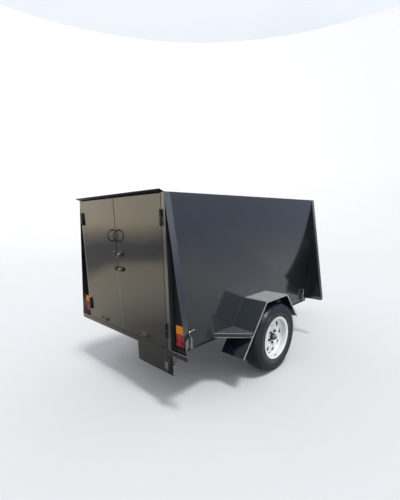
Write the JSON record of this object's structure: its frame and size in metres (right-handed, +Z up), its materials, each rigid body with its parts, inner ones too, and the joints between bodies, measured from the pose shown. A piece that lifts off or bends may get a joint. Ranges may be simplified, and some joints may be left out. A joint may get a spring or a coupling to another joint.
{
  "type": "enclosed cargo trailer",
  "caption": "Enclosed single-axle cargo trailer: steel box with rear barn doors, sloped corner fins, mudguards with steps, A-frame drawbar, ball coupling and jockey wheel.",
  "frame": {"origin": "centre of the whole trailer's length and width, on the ground under its wheels", "axes": "+X to the right of the trailer, +Y forward along the drawbar, +Z up"},
  "size_m": [1.694, 3.193, 1.609],
  "materials": {
    "body_paint": "glossy charcoal enamel",
    "chassis_paint": "satin charcoal enamel",
    "zinc": "bright zinc plating",
    "black_steel": "semi-gloss black",
    "floor_plate": "painted steel plate",
    "rim_white": "gloss white enamel",
    "tyre": "moulded tread",
    "jockey_rubber": "solid rubber",
    "lamp_base": "moulded",
    "lens_amber": "moulded lens",
    "lens_red": "moulded lens",
    "plate_lamp": "moulded"
  },
  "bodies": {
    "root": {"axle": "black_steel", "chassis_rails": "chassis_paint", "coupling": "zinc", "coupling_lever": "zinc", "door_header": "body_paint", "door_posts": "body_paint", "drawbar_rails": "chassis_paint", "fins_front": "body_paint", "fins_rear": "body_paint", "floor": "floor_plate", "floor_bearers": "chassis_paint", "head_plate": "chassis_paint", "hinges_frame": "black_steel", "jockey_collar": "zinc", "jockey_crank": "zinc", "jockey_inner_tube": "zinc", "jockey_tube": "zinc", "lamp_bases": "lamp_base", "lamp_lenses_amber": "lens_amber", "lamp_lenses_red": "lens_red", "leaf_springs": "black_steel", "mudguard_left": "body_paint", "mudguard_right": "body_paint", "plate_lamp": "plate_lamp", "plate_panel": "body_paint", "roof": "body_paint", "side_latches": "zinc", "sill_front": "body_paint", "sill_rear": "body_paint", "spring_clamps": "zinc", "steps": "body_paint", "wall_front": "body_paint", "wall_left": "body_paint", "wall_right": "body_paint"},
    "door_right_leaf": {"door_right": "body_paint", "hinges_right": "zinc", "handle_right": "zinc", "bolts_right": "black_steel"},
    "door_left_leaf": {"door_left": "body_paint", "hinges_left": "zinc", "handle_left": "zinc", "bolts_left": "black_steel"},
    "wheel_right": {"tyre_right": "tyre", "rim_right": "rim_white", "hub_right": "black_steel"},
    "wheel_left": {"tyre_left": "tyre", "rim_left": "rim_white", "hub_left": "black_steel"},
    "jockey_swivel": {"jockey_fork": "zinc"},
    "jockey_roller": {"jockey_wheel": "jockey_rubber"}
  },
  "joints": [
    {"name": "door_right_hinge", "type": "hinge", "parent": "root", "child": "door_right_leaf", "pos_m": [0.572, -1.5585, 1], "axis": [0, 0, 1], "range_deg": [0, 175]},
    {"name": "door_left_hinge", "type": "hinge", "parent": "root", "child": "door_left_leaf", "pos_m": [-0.572, -1.5585, 1], "axis": [0, 0, -1], "range_deg": [0, 175]},
    {"name": "wheel_right_spin", "type": "hinge", "parent": "root", "child": "wheel_right", "pos_m": [0.7545, -0.47869, 0.325], "axis": [1, 0, 0], "continuous": true},
    {"name": "wheel_left_spin", "type": "hinge", "parent": "root", "child": "wheel_left", "pos_m": [-0.7545, -0.47869, 0.325], "axis": [1, 0, 0], "continuous": true},
    {"name": "jockey_swivel_turn", "type": "hinge", "parent": "root", "child": "jockey_swivel", "pos_m": [0, 1.2915, 0.25], "axis": [0, 0, 1], "continuous": true},
    {"name": "jockey_spin", "type": "hinge", "parent": "jockey_swivel", "child": "jockey_roller", "pos_m": [0, 1.2555, 0.1], "axis": [1, 0, 0], "continuous": true}
  ]
}
